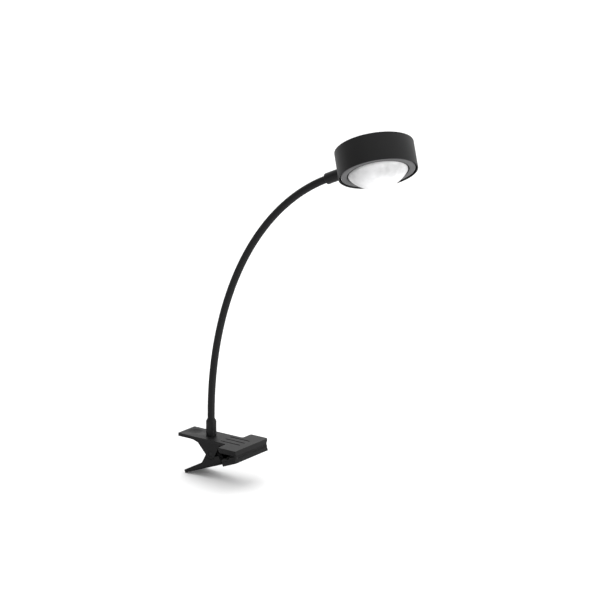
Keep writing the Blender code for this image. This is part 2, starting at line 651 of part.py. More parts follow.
def light_engine(base):
    """Reflector, board with its emitters, heat sink and the screws that hold them."""
    profile = [(31.5, 4.7), (31.5, 5.5), (28.6, 5.5), (14.6, 13.2), (13.6, 13.2), (27.6, 4.7)]
    turned("reflector", [(r * MM, at_depth(d)) for r, d in profile], 48, "reflector_white", base)
    board_low, board_high = at_depth(13.5), at_depth(14.9)
    board = rod("led_board", 26.0 * MM, board_low, board_high, 40, "board_white", base)
    sink_low, sink_high = board_high + GAP, board_high + GAP + 2.4 * MM
    sink = rod("heat_sink", 26.5 * MM, sink_low, sink_high, 40, "aluminium", base)
    fins = []
    for i in range(-3, 4):
        y = i * 4.4 * MM
        reach = 15.0 * MM
        low, high = (-reach, y - 0.6 * MM, sink_high - 0.5 * MM), (reach, y + 0.6 * MM, sink_high + 4.0 * MM)
        fins.append(block("fin", low, high, base=base))
    combine(sink, fins, "UNION")
    for piece in (board, sink):
        holes = []
        for x, y in around(3, SCREW_CIRCLE, 60):
            place = Matrix.Translation((x, y, 0))
            holes.append(rod("hole", 1.5 * MM, board_low - OVERLAP, sink_high + OVERLAP, 12, base=base, place=place))
        combine(piece, holes, "DIFFERENCE")
    disc = rod("led_array", 10.8 * MM, board_low - GAP - 0.5 * MM, board_low - GAP, 24, "led_phosphor", base)
    chips = []
    half = 1.5 * MM
    for x, y in [(0.0, 0.0)] + list(around(8, 8.0 * MM)):
        low = (x - half, y - half, board_low - GAP - 1.1 * MM)
        chips.append(block("chip", low, (x + half, y + half, board_low - GAP - 0.2 * MM), base=base))
    combine(disc, chips, "UNION")
    for i, (x, y) in enumerate(around(3, SCREW_CIRCLE, 60), start=1):
        head_low, head_high, tip = at_depth(11.9), at_depth(13.2), at_depth(23.4)
        profile = [(0, head_low), (2.3 * MM, head_low), (2.3 * MM, head_high), (1.1 * MM, head_high),
                   (1.1 * MM, tip), (0, tip)]
        turned(f"board_screw_{i}", profile, 12, "steel", base, Matrix.Translation((x, y, 0)))


def head_lead(base):
    """The lead's last stretch, from the collar's stud to the back of the board's edge."""
    start, stop = Vector((-29.2, 0, 0)) * MM, Vector((-26.6, 0, -3.4)) * MM
    shape = bpy.data.curves.new("head_lead", "CURVE")
    shape.dimensions = "3D"
    line = shape.splines.new("POLY")
    points = [start, start + Vector((1.2 * MM, 0, 0)), start + Vector((2.2 * MM, 0, -0.9 * MM)),
              stop + Vector((0, 0, 0.6 * MM)), stop]
    line.points.add(len(points) - 1)
    for point, place in zip(line.points, points):
        point.co = (*place, 1.0)
    shape.bevel_depth = 0.8 * MM
    shape.bevel_resolution = 2
    shape.use_fill_caps = True
    shape.materials.append(material("lead_sheath"))
    lead = bpy.data.objects.new("head_lead", shape)
    bpy.context.collection.objects.link(lead)
    lead.parent = base


def main():
    clear_scene()
    clip = frame("clip_frame", Matrix.Identity(4))
    upper_jaw(clip)
    upper_jaw_pad(clip)
    pivot_pin(clip)
    torsion_spring(clip)
    base_fittings(clip)
    lower = frame("clip_hinge", Matrix.Translation(PIVOT) @ Matrix.Rotation(-LOWER_SLOPE, 4, "Y"), clip)
    lower_jaw(lower)
    lower_jaw_pad(lower)
    neck_end = neck(clip)
    collar(neck_end)
    head = frame("head_frame", head_place(), neck_end)
    head_shell(head)
    front_ring(head)
    lens(head)
    light_engine(head)
    head_lead(head)


main()
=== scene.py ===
import json
import math

import bmesh
import bpy
from mathutils import Matrix, Vector


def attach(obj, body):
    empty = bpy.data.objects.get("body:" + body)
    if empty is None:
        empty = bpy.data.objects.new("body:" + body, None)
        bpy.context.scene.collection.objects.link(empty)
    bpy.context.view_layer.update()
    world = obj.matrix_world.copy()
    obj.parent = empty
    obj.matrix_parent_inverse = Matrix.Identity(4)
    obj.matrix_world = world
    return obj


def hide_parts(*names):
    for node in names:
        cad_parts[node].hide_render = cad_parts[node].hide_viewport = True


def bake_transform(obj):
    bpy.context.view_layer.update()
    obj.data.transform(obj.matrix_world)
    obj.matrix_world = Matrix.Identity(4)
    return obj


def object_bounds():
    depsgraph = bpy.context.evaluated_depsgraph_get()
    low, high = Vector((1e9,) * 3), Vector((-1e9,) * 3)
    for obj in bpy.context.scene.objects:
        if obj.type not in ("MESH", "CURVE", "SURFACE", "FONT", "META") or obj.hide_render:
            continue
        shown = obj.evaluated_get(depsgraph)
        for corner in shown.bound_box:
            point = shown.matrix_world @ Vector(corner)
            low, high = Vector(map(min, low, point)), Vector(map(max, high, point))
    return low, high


MM = 0.001

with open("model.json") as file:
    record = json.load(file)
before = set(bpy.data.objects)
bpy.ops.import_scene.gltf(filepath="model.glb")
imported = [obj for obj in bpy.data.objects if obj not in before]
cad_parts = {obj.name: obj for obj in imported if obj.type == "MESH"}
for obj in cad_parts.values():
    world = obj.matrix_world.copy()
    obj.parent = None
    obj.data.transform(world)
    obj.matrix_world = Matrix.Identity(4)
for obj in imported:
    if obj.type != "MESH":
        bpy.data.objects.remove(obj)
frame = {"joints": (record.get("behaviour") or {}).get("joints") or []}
size_before = [list(corner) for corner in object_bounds()]
JOINTS = {joint["name"]: joint for joint in frame["joints"]}
for packed in list(bpy.data.materials):
    bpy.data.materials.remove(packed)

# Clip, upper half
PLATE_TOP, PLATE_UNDER = 6.0 * MM, 2.6 * MM
LEVER_WIDTH, JAW_WIDTH = 27.2 * MM, 54.8 * MM
LEVER_END_X, JAW_REAR_X, JAW_FRONT_X = -69.2 * MM, -5.0 * MM, 17.1 * MM
EAR_THICKNESS, EAR_RADIUS = 2.8 * MM, 5.6 * MM
PIVOT = Vector(JOINTS["clip_open"]["pos_m"])
PIN_RADIUS = 1.9 * MM
LEVER_CORNER, INNER_CORNER = 0.6 * MM, 2.6 * MM
JAW_CORNER, LOWER_JAW_CORNER, PAD_CORNER = 1.5 * MM, 1.4 * MM, 3.2 * MM
SKIRT_WALL, SKIRT_INSET, SKIRT_UNDER = 2.0 * MM, 1.0 * MM, 0.3 * MM
EAR_REAR_SLOPE, EAR_FRONT_SLOPE = math.radians(47), math.radians(63)
KNEE_RADIUS, KNEE_TURN = 26.6 * MM, math.radians(23.5)
GROOVE_START, GROOVE_END = -17.0 * MM, 8.2 * MM
GROOVE_PITCH, GROOVE_HALF_WIDTH, GROOVE_DEPTH = 8.0 * MM, 0.8 * MM, 0.85 * MM
DISH_X, DISH_RADIUS, DISH_DEPTH = -56.9 * MM, 8.3 * MM, 1.5 * MM

# Clip, lower half, in its own sloping frame
LOWER_SLOPE = math.radians(21)
LOWER_BOTTOM, LOWER_FLOOR = -13.3 * MM, -10.1 * MM
LOWER_LEVER_REACH, LOWER_JAW_REAR, LOWER_JAW_FRONT = 41.6 * MM, 23.4 * MM, 42.2 * MM
PAD_INSET, LIP_OVERHANG = 0.5 * MM, 1.0 * MM
RIB_PITCH = 3.5 * MM
RIB_COUNT = 15
LOWER_JAW_STEP = 0.7 * MM
SHOULDER, TOE = (-14.8 * MM, -6.9 * MM), (10.0 * MM, -4.2 * MM)
INNER_SHOULDER, BROW = (-17.5 * MM, -6.9 * MM), (-8.5 * MM, 0.6 * MM)
CHEEK_RADIUS, INNER_EAR_RADIUS = 6.2 * MM, 5.3 * MM

# Neck
NECK_X = -35.6 * MM
NECK_LENGTH, FERRULE_HEIGHT = 330.2 * MM, 18.5 * MM
NECK_RADIUS, SLEEVE_BORE = 3.78 * MM, 2.95 * MM
STUD_RADIUS, STUD_BORE = 3.0 * MM, 1.6 * MM
NECK_TURN = math.radians(9.45)
BEND_STEADY, BEND_LATE = math.radians(40.5), math.radians(26.0)
BEND_COUNT = 8
STRETCH = (NECK_LENGTH - FERRULE_HEIGHT) / BEND_COUNT
NECK_SIDE = Vector((-math.sin(NECK_TURN), math.cos(NECK_TURN), 0.0))

# Head
HEAD_RADIUS, HEAD_DEPTH = 39.0 * MM, 28.2 * MM
HEAD_ROLL = math.radians(-23.7)
COLLAR_RADIUS, COLLAR_LENGTH = 5.7 * MM, 18.9 * MM
RING_OUTER, RING_INNER = 37.1 * MM, 30.5 * MM
LENS_RADIUS, LENS_SPHERE, LENS_RISE = 29.0 * MM, 36.25 * MM, 14.0 * MM
SCREW_CIRCLE = 23 * MM


# Finishes

def node(tree, kind, **settings):
    made = tree.nodes.new(kind)
    for key, value in settings.items():
        if key in made.inputs:
            made.inputs[key].default_value = value
        else:
            setattr(made, key, value)
    return made


def ramp(tree, value, start, stop, low, high, kind="SMOOTHSTEP"):
    """The value's run from start to stop, as a run from low to high."""
    made = node(tree, "ShaderNodeMapRange", interpolation_type=kind)
    for key, number in (("From Min", start), ("From Max", stop), ("To Min", low), ("To Max", high)):
        made.inputs[key].default_value = number
    tree.links.new(value, made.inputs["Value"])
    return made.outputs["Result"]


def finish_material(name, colour, roughness, spread=0.1, metallic=0.0, grain=3200.0, relief=0.012,
                    cloud=90.0, specular=0.5):
    """A surface whose colour and roughness drift a little over a few millimetres, with a fine grain."""
    material = bpy.data.materials.new(name)
    material.use_nodes = True
    tree = material.node_tree
    shader = tree.nodes["Principled BSDF"]
    place = node(tree, "ShaderNodeTexCoord")
    clouds = node(tree, "ShaderNodeTexNoise", Scale=cloud, Detail=3.0, Roughness=0.55)
    tree.links.new(place.outputs["Object"], clouds.inputs["Vector"])
    tint = node(tree, "ShaderNodeMix", data_type="RGBA")
    low = [c * (1 - spread) for c in colour]
    high = [min(c * (1 + spread), 1.0) for c in colour]
    tint.inputs[6].default_value = (*low, 1.0)
    tint.inputs[7].default_value = (*high, 1.0)
    tree.links.new(clouds.outputs["Fac"], tint.inputs[0])
    tree.links.new(tint.outputs[2], shader.inputs["Base Color"])
    rough = ramp(tree, clouds.outputs["Fac"], 0.0, 1.0, max(roughness - 0.05, 0.02), roughness + 0.05,
                 "LINEAR")
    tree.links.new(rough, shader.inputs["Roughness"])
    fine = node(tree, "ShaderNodeTexNoise", Scale=grain, Detail=2.0)
    tree.links.new(place.outputs["Object"], fine.inputs["Vector"])
    bump = node(tree, "ShaderNodeBump", Strength=0.5, Distance=relief * MM)
    tree.links.new(fine.outputs["Fac"], bump.inputs["Height"])
    tree.links.new(bump.outputs["Normal"], shader.inputs["Normal"])
    shader.inputs["Metallic"].default_value = metallic
    shader.inputs["Specular IOR Level"].default_value = specular
    return material


LOOKS = {
    "clip_plastic": finish_material("clip_plastic", (0.007, 0.007, 0.0073), 0.5, specular=0.125,
                                    relief=0.02),
    "pad_rubber": finish_material("pad_rubber", (0.009, 0.009, 0.0092), 0.65, specular=0.16, grain=2200.0),
    "neck_sleeve": finish_material("neck_sleeve", (0.0075, 0.0075, 0.0078), 0.55, specular=0.14),
    "black_paint": finish_material("black_paint", (0.0075, 0.0075, 0.0078), 0.45, specular=0.16),
    "head_plastic": finish_material("head_plastic", (0.0085, 0.0085, 0.0088), 0.5, specular=0.17),
    "steel": finish_material("steel", (0.56, 0.56, 0.57), 0.32, metallic=1.0),
    "spring_steel": finish_material("spring_steel", (0.32, 0.32, 0.33), 0.34, metallic=1.0),
    "lead_sheath": finish_material("lead_sheath", (0.03, 0.03, 0.03), 0.6),
    "ring_grey": finish_material("ring_grey", (0.067, 0.067, 0.069), 0.55, specular=0.3, grain=1600.0,
                                 relief=0.05),
    "lens_frosted": finish_material("lens_frosted", (0.55, 0.55, 0.555), 0.4, spread=0.26, specular=0.3,
                                    relief=0.004, cloud=48.0),
    "reflector_white": finish_material("reflector_white", (0.85, 0.85, 0.84), 0.4, spread=0.03),
    "board_white": finish_material("board_white", (0.75, 0.76, 0.75), 0.45, spread=0.04),
    "led_phosphor": finish_material("led_phosphor", (0.85, 0.62, 0.16), 0.4),
    "aluminium": finish_material("aluminium", (0.7, 0.7, 0.71), 0.36, metallic=1.0),
}


# Shapes

def make_object(name, shape, look, base=None, sharp=40):
    bmesh.ops.remove_doubles(shape, verts=shape.verts, dist=0.001 * MM)
    bmesh.ops.recalc_face_normals(shape, faces=shape.faces)
    mesh = bpy.data.meshes.new(name)
    shape.to_mesh(mesh)
    shape.free()
    mesh.shade_smooth()
    mesh.set_sharp_from_angle(angle=math.radians(sharp))
    piece = bpy.data.objects.new(name, mesh)
    bpy.context.scene.collection.objects.link(piece)
    if look:
        mesh.materials.append(LOOKS[look])
    if base:
        piece.matrix_world = base
    return piece


def rounded(points, radius, steps=5, closed=True):
    """The outline with its corners rounded. A point can carry its own radius as a third value."""
    result = []
    count = len(points)
    for i, point in enumerate(points):
        corner = Vector(point[:2])
        size = point[2] if len(point) > 2 else radius
        if not closed and i in (0, count - 1) or size <= 0:
            result.append(tuple(corner))
            continue
        back = Vector(points[i - 1][:2]) - corner
        ahead = Vector(points[(i + 1) % count][:2]) - corner
        turn = math.pi - back.angle(ahead)
        if turn < 0.02:
            result.append(tuple(corner))
            continue
        run = min(size * math.tan(turn / 2), 0.48 * back.length, 0.48 * ahead.length)
        size = run / math.tan(turn / 2)
        start, stop = corner + back.normalized() * run, corner + ahead.normalized() * run
        middle = corner + (back.normalized() + ahead.normalized()).normalized() * math.hypot(run, size)
        first, last = start - middle, stop - middle
        sweep = first.angle_signed(last) * -1
        for step in range(steps + 1):
            angle = sweep * step / steps
            c, s = math.cos(angle), math.sin(angle)
            result.append((middle.x + first.x * c - first.y * s, middle.y + first.x * s + first.y * c))
    return result


def prism(name, outline, low, high, across, look=None, base=None):
    shape = bmesh.new()
    bottom = [shape.verts.new(across(a, b, low)) for a, b in outline]
    top = [shape.verts.new(across(a, b, high)) for a, b in outline]
    shape.faces.new(bottom)
    shape.faces.new(list(reversed(top)))
    for i, start in enumerate(bottom):
        j = (i + 1) % len(bottom)
        shape.faces.new((start, top[i], top[j], bottom[j]))
    return make_object(name, shape, look, base)


def flat(a, b, height):
    return (a, b, height)


def side(a, b, height):
    return (a, height, b)


def box(low, high, base=None):
    outline = [(low[0], low[1]), (high[0], low[1]), (high[0], high[1]), (low[0], high[1])]
    return prism("cut", outline, low[2], high[2], flat, None, base)


def circle(shape, radius, height, sides):
    angles = [math.tau * i / sides for i in range(sides)]
    return [shape.verts.new((radius * math.cos(a), radius * math.sin(a), height)) for a in angles]


def turned(name, profile, sides, look=None, base=None, place=None, corner=0.0, steps=4):
    """A profile of (radius, height) turned about Z, with its corners rounded."""
    solid = profile[0][0] < 1e-7
    if corner:
        profile = rounded(profile, corner, steps, closed=not solid)
    shape = bmesh.new()
    rings = []
    for radius, height in profile:
        if radius < 1e-7:
            rings.append([shape.verts.new((0, 0, height))])
            continue
        rings.append(circle(shape, radius, height, sides))
    pairs = list(zip(rings, rings[1:])) if solid else list(zip(rings, rings[1:] + rings[:1]))
    for low, high in pairs:
        for i in range(sides):
            j = (i + 1) % sides
            corners = [low[i % len(low)], low[j % len(low)], high[j % len(high)], high[i % len(high)]]
            shape.faces.new(list(dict.fromkeys(corners)))
    if place:
        bmesh.ops.transform(shape, matrix=place, verts=shape.verts)
    return make_object(name, shape, look, base)


def rod(radius, low, high, sides=32, base=None, place=None, name="cut", look=None):
    shape = bmesh.new()
    rings = [circle(shape, radius, height, sides) for height in (low, high)]
    shape.faces.new(rings[0])
    shape.faces.new(rings[1])
    for i in range(sides):
        j = (i + 1) % sides
        shape.faces.new((rings[0][i], rings[0][j], rings[1][j], rings[1][i]))
    if place:
        bmesh.ops.transform(shape, matrix=place, verts=shape.verts)
    return make_object(name, shape, look, base)


def combine(piece, tools, operation, edge=0.0, segments=3, sharp=40):
    """Joins or cuts with each tool, then rounds the edges to the width of edge."""
    for tool in tools:
        step = piece.modifiers.new("combine", "BOOLEAN")
        step.operation, step.solver, step.object = operation, "EXACT", tool
        apply_modifiers(piece)
        bpy.data.objects.remove(tool)
    if edge:
        soften(piece, edge, segments)
    piece.data.shade_smooth()
    piece.data.set_sharp_from_angle(angle=math.radians(sharp))
    return piece


def apply_modifiers(piece):
    bpy.context.view_layer.update()
    result = piece.evaluated_get(bpy.context.evaluated_depsgraph_get())
    mesh = bpy.data.meshes.new_from_object(result)
    piece.modifiers.clear()
    piece.data = mesh
    mesh.name = piece.name


def soften(piece, width, segments=3, angle=30):
    shape = bmesh.new()
    shape.from_mesh(piece.data)
    bmesh.ops.remove_doubles(shape, verts=shape.verts, dist=0.002 * MM)
    bmesh.ops.dissolve_limit(shape, angle_limit=math.radians(0.5), verts=shape.verts, edges=shape.edges)
    shape.to_mesh(piece.data)
    shape.free()
    step = piece.modifiers.new("soften", "BEVEL")
    step.width, step.segments = width, segments
    step.limit_method, step.angle_limit = "ANGLE", math.radians(angle)
    step.miter_outer = "MITER_ARC"
    step.harden_normals = False
    apply_modifiers(piece)
    return piece


def along_y(x, z):
    return Matrix.Translation((x, 0, z)) @ Matrix.Rotation(-math.pi / 2, 4, "X")


def arc(centre, radius, start, stop, steps):
    angles = [math.radians(start + (stop - start) * i / steps) for i in range(steps + 1)]
    return [(centre[0] + radius * math.cos(a), centre[1] + radius * math.sin(a)) for a in angles]


def settle(piece, body, *nodes, slot=None):
    """The piece stands for CAD nodes, and moves with their body."""
    bpy.context.view_layer.update()
    piece.data.transform(piece.matrix_world)
    piece.matrix_world = Matrix.Identity(4)
    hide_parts(*nodes)
    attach(piece, body)
    return piece


def t_outline(rear, neck, front_edge, jaw_corner):
    half, wide = LEVER_WIDTH / 2, JAW_WIDTH / 2
    points = [(rear, -half), (neck, -half, INNER_CORNER), (neck, -wide, JAW_CORNER),
              (front_edge, -wide, jaw_corner), (front_edge, wide, jaw_corner),
              (neck, wide, JAW_CORNER), (neck, half, INNER_CORNER), (rear, half)]
    return rounded(points, LEVER_CORNER, 6)


# Clip, upper half

def upper_jaw():
    outline = t_outline(LEVER_END_X, JAW_REAR_X, JAW_FRONT_X, JAW_CORNER)
    jaw = prism("clip_top", outline, PLATE_UNDER, PLATE_TOP, flat, "clip_plastic")
    centre = (PIVOT.x, PIVOT.z)
    rear, ahead = EAR_REAR_SLOPE, EAR_FRONT_SLOPE
    rear_touch = (centre[0] - EAR_RADIUS * math.sin(rear), centre[1] - EAR_RADIUS * math.cos(rear))
    front_touch = (centre[0] + EAR_RADIUS * math.sin(ahead), centre[1] - EAR_RADIUS * math.cos(ahead))
    corner_x = rear_touch[0] - (PLATE_UNDER - rear_touch[1]) / math.tan(rear)
    front_x = front_touch[0] + (PLATE_UNDER - front_touch[1]) / math.tan(ahead)
    drop = KNEE_RADIUS * (1 - math.cos(KNEE_TURN))
    start_x = corner_x + drop / math.tan(rear) - KNEE_RADIUS * math.sin(KNEE_TURN)
    fillet = arc((start_x, PLATE_UNDER - KNEE_RADIUS), KNEE_RADIUS, 90, 90 - math.degrees(KNEE_TURN), 14)
    foot = arc(centre, EAR_RADIUS, 223, 333, 24)
    inside = PLATE_UNDER + 0.8 * MM
    ear = [(start_x, inside)] + fillet + foot + [(front_x, PLATE_UNDER), (front_x, inside)]
    ears = []
    for hand in (-1, 1):
        low, high = sorted((hand * LEVER_WIDTH / 2, hand * (LEVER_WIDTH / 2 - EAR_THICKNESS)))
        ears.append(prism("ear", ear, low, high, side))
    half = JAW_WIDTH / 2
    end = half - SKIRT_INSET
    skirt = [(JAW_REAR_X, -end), (JAW_FRONT_X, -end), (JAW_FRONT_X, end), (JAW_REAR_X, end)]
    skirt = rounded(skirt, JAW_CORNER, 6)
    ears.append(prism("skirt", skirt, SKIRT_UNDER, inside, flat))
    combine(jaw, ears, "UNION")
    low = (JAW_REAR_X + SKIRT_WALL, -half + SKIRT_WALL, -MM)
    combine(jaw, [box(low, (JAW_FRONT_X - SKIRT_WALL, half - SKIRT_WALL, PLATE_UNDER))], "DIFFERENCE")
    across = along_y(PIVOT.x, PIVOT.z)
    cuts = [rod(PIN_RADIUS + 0.1 * MM, -LEVER_WIDTH, LEVER_WIDTH, 32, place=across)]
    cuts.append(rod(2.75 * MM, -LEVER_WIDTH, -LEVER_WIDTH / 2 + 1.1 * MM, 32, place=across))
    cuts.append(rod(3.15 * MM, -MM, PLATE_TOP + MM, 32, place=Matrix.Translation((NECK_X, 0, 0))))
    for row in (-1, 0, 1):
        middle = row * GROOVE_PITCH
        near, far = middle - GROOVE_HALF_WIDTH, middle + GROOVE_HALF_WIDTH
        slot = [(GROOVE_START, near), (GROOVE_END, near), (GROOVE_END, far), (GROOVE_START, far)]
        slot = rounded(slot, 0.5 * MM, 4)
        cuts.append(prism("cut", slot, PLATE_TOP - GROOVE_DEPTH, PLATE_TOP + MM, flat))
    combine(jaw, cuts, "DIFFERENCE", edge=0.2 * MM)
    ball = (DISH_RADIUS**2 + DISH_DEPTH**2) / (2 * DISH_DEPTH)
    bowl = [(0, -DISH_DEPTH)]
    for step in range(1, 13):
        radius = 1.15 * DISH_RADIUS * step / 12
        bowl.append((radius, ball - DISH_DEPTH - math.sqrt(ball**2 - radius**2)))
    bowl += [(bowl[-1][0], 3 * MM), (0, 3 * MM)]
    dish = turned("cut", bowl, 64, place=Matrix.Translation((DISH_X, 0, PLATE_TOP)))
    combine(jaw, [dish], "DIFFERENCE", sharp=32)
    settle(jaw, "upper_clip", "upper_jaw")


def upper_pad():
    inset = SKIRT_WALL + 0.15 * MM
    half = JAW_WIDTH / 2 - inset
    rear, ahead = JAW_REAR_X + inset, JAW_FRONT_X - inset
    outline = rounded([(rear, -half), (ahead, -half), (ahead, half), (rear, half)], 0.6 * MM, 5)
    pad = prism("pad_top", outline, 0, 2.55 * MM, flat, "pad_rubber")
    groove = box((-rear, -JAW_WIDTH, -MM), (-rear + 3 * MM, JAW_WIDTH, 1.2 * MM))
    combine(pad, [groove], "DIFFERENCE", edge=0.25 * MM, segments=2)
    settle(pad, "upper_clip", "upper_jaw_pad")


def pivot_parts():
    across = along_y(PIVOT.x, PIVOT.z)
    outside = LEVER_WIDTH / 2
    tail = outside + 1.4 * MM
    head_face, head_back = -outside + 0.2 * MM, -outside + 0.75 * MM
    profile = [(0, head_face + 0.25 * MM), (0.9 * MM, head_face + 0.25 * MM, 0.2 * MM),
               (1.3 * MM, head_face), (2.5 * MM, head_face), (2.5 * MM, head_back),
               (PIN_RADIUS, head_back, 0.05 * MM), (PIN_RADIUS, tail, 0.4 * MM), (0, tail)]
    pin = turned("pivot_pin_turned", profile, 48, "black_paint", place=across, corner=0.25 * MM)
    settle(pin, "upper_clip", "pivot_pin")
    low, high = outside + 0.3 * MM, outside + 1.0 * MM
    ring = turned("push_ring", [(2.0 * MM, low), (3.4 * MM, low), (3.4 * MM, high), (2.0 * MM, high)], 48,
                  "spring_steel", place=across, corner=0.15 * MM)
    teeth = []
    for i in range(6):
        turn = across @ Matrix.Rotation(math.tau * i / 6, 4, "Z")
        tooth = box((1.5 * MM, -0.25 * MM, low - MM), (2.8 * MM, 0.25 * MM, high + MM))
        tooth.data.transform(turn)
        teeth.append(tooth)
    combine(ring, teeth, "DIFFERENCE")
    settle(ring, "upper_clip", "pin_retainer")


def wire(name, points, radius, look, sides=14):
    """A round wire through the points, with a small dome on each end."""
    centres = [Vector(p) for p in points]
    shape = bmesh.new()
    rings = []
    normal = None
    for i, centre in enumerate(centres):
        ahead = centres[min(i + 1, len(centres) - 1)] - centres[max(i - 1, 0)]
        ahead.normalize()
        if normal is None:
            normal = ahead.orthogonal().normalized()
        normal = (normal - ahead * normal.dot(ahead)).normalized()
        binormal = ahead.cross(normal)
        rings.append([shape.verts.new(centre + (normal * math.cos(a) + binormal * math.sin(a)) * radius)
                      for a in (math.tau * k / sides for k in range(sides))])
    for low, high in zip(rings, rings[1:]):
        for k in range(sides):
            m = (k + 1) % sides
            shape.faces.new((low[k], low[m], high[m], high[k]))
    for ring, tip, near in ((rings[0], centres[0], centres[1]), (rings[-1], centres[-1], centres[-2])):
        point = shape.verts.new(tip + (tip - near).normalized() * radius * 0.45)
        for k in range(sides):
            shape.faces.new((ring[k], ring[(k + 1) % sides], point))
    return make_object(name, shape, look, sharp=60)


def smooth_path(points, per=10):
    """A Catmull-Rom curve through the points."""
    spots = [Vector(p) for p in points]
    spots = [spots[0] * 2 - spots[1]] + spots + [spots[-1] * 2 - spots[-2]]
    path = []
    for a, b, c, d in zip(spots, spots[1:], spots[2:], spots[3:]):
        for step in range(per):
            t = step / per
            path.append(0.5 * (2 * b + (c - a) * t + (2 * a - 5 * b + 4 * c - d) * t**2
                               + (3 * b - a - 3 * c + d) * t**3))
    path.append(spots[-2])
    return path


def lower_floor(x):
    drop = -LOWER_FLOOR / math.cos(LOWER_SLOPE)
    return PIVOT.z - drop + (x - PIVOT.x) * math.tan(LOWER_SLOPE)


def spring():
    """The coils and the upper leg ride on the upper half, the lower leg on the lower half."""
    half, radius, thick = 5.6 * MM, 4.0 * MM, 0.7 * MM
    turns, per = 5.36, 40
    first = math.radians(118)
    coil = []
    for i in range(round(turns * per) + 1):
        angle = first + math.tau * i / per
        y = half - 2 * half * i / (turns * per)
        coil.append((PIVOT.x + radius * math.cos(angle), y, PIVOT.z + radius * math.sin(angle)))
    under = PLATE_UNDER - 0.3 * MM - thick
    leg_x = NECK_X - 14.0 * MM
    top_end = Vector((leg_x, half + 1.2 * MM, under))
    top_leg = [top_end.lerp(Vector(coil[0]), t / 8) for t in range(8)]
    settle(wire("spring_coil", top_leg + coil, thick, "spring_steel"), "upper_clip", "torsion_spring")
    foot = Vector((leg_x, -half, lower_floor(leg_x) + 0.3 * MM + 1.2 * thick))
    bend_x = NECK_X - 4.5 * MM
    bend = Vector((bend_x, -half, lower_floor(bend_x) + 0.3 * MM + 1.2 * thick))
    leg = smooth_path([coil[-1], Vector(coil[-1]).lerp(bend, 0.5), bend, bend.lerp(foot, 0.5), foot], 8)
    lower_leg = wire("spring_leg", leg, thick, "spring_steel")
    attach(lower_leg, "lower_clip")


def hex_nut(name, across_flats, bore, low, high, place, look="steel"):
    reach, flats, trim = across_flats / math.sqrt(3), across_flats / 2, 0.55 * MM
    nut = rod(reach, low, high, 6, name=name, look=look)
    blank = [(0, low), (flats, low), (reach * 1.02, low + trim), (reach * 1.02, high - trim), (flats, high),
             (0, high)]
    combine(nut, [turned("cut", blank, 48)], "INTERSECT")
    combine(nut, [rod(bore, low - MM, high + MM, 32)], "DIFFERENCE", edge=0.08 * MM, segments=2, sharp=30)
    nut.data.transform(place)
    return nut


def threaded(points, start, stop, radius, pitch=0.8 * MM, depth=0.18 * MM):
    """Thread crests along a turned profile from start to stop, at that radius."""
    count = round(abs(stop - start) / pitch)
    step = (stop - start) / count
    for i in range(count):
        points.append((radius - depth, start + step * (i + 0.05), 0.01 * MM))
        points.append((radius, start + step * (i + 0.5), 0.04 * MM))
    return points


def base_parts():
    place = Matrix.Translation((NECK_X, 0, 0))
    crown = PLATE_TOP + FERRULE_HEIGHT
    foot, socket, stud_end = PLATE_TOP + 0.05 * MM, PLATE_TOP + 3.0 * MM, -3.9 * MM
    mouth = NECK_RADIUS + 0.06 * MM
    profile = [(STUD_BORE, stud_end)]
    profile = threaded(profile, stud_end, PLATE_UNDER, STUD_RADIUS)
    profile += [(STUD_RADIUS, foot, 0.05 * MM), (5.4 * MM, foot, 0.3 * MM),
                (5.4 * MM, crown - 2.6 * MM, 0.5 * MM), (mouth + 0.22 * MM, crown, 0.12 * MM),
                (mouth, crown, 0.08 * MM), (mouth, socket), (STUD_BORE, socket)]
    ferrule = turned("ferrule_turned", profile, 80, "black_paint", place=place, corner=0.05 * MM, steps=5)
    settle(ferrule, "upper_clip", "base_ferrule")
    top = PLATE_UNDER - 0.05 * MM
    washer = turned("washer_base", [(3.2 * MM, top - 0.8 * MM), (5.0 * MM, top - 0.8 * MM), (5.0 * MM, top),
                                    (3.2 * MM, top)], 64, "steel", place=place, corner=0.12 * MM)
    settle(washer, "upper_clip", "ferrule_washer")
    nut_top = top - 0.85 * MM
    nut = hex_nut("nut_base", 8.0 * MM, 3.05 * MM, nut_top - 3.2 * MM, nut_top, place)
    settle(nut, "upper_clip", "ferrule_nut")
    low, high = stud_end - 2.7 * MM, stud_end - 0.1 * MM
    profile = [(1.4 * MM, low), (2.6 * MM, low, 0.6 * MM), (3.4 * MM, low + 1.2 * MM, 0.3 * MM),
               (3.4 * MM, high), (1.4 * MM, high)]
    gland = turned("gland", profile, 48, "pad_rubber", place=place, corner=0.2 * MM)
    settle(gland, "upper_clip", "cable_grommet")


# Clip, lower half

LOWER = Matrix.Translation(PIVOT) @ Matrix.Rotation(-LOWER_SLOPE, 4, "Y")


def tangent_point(point, radius, turn):
    reach = math.hypot(*point)
    angle = math.atan2(point[1], point[0]) + turn * math.acos(radius / reach)
    return math.degrees(angle)


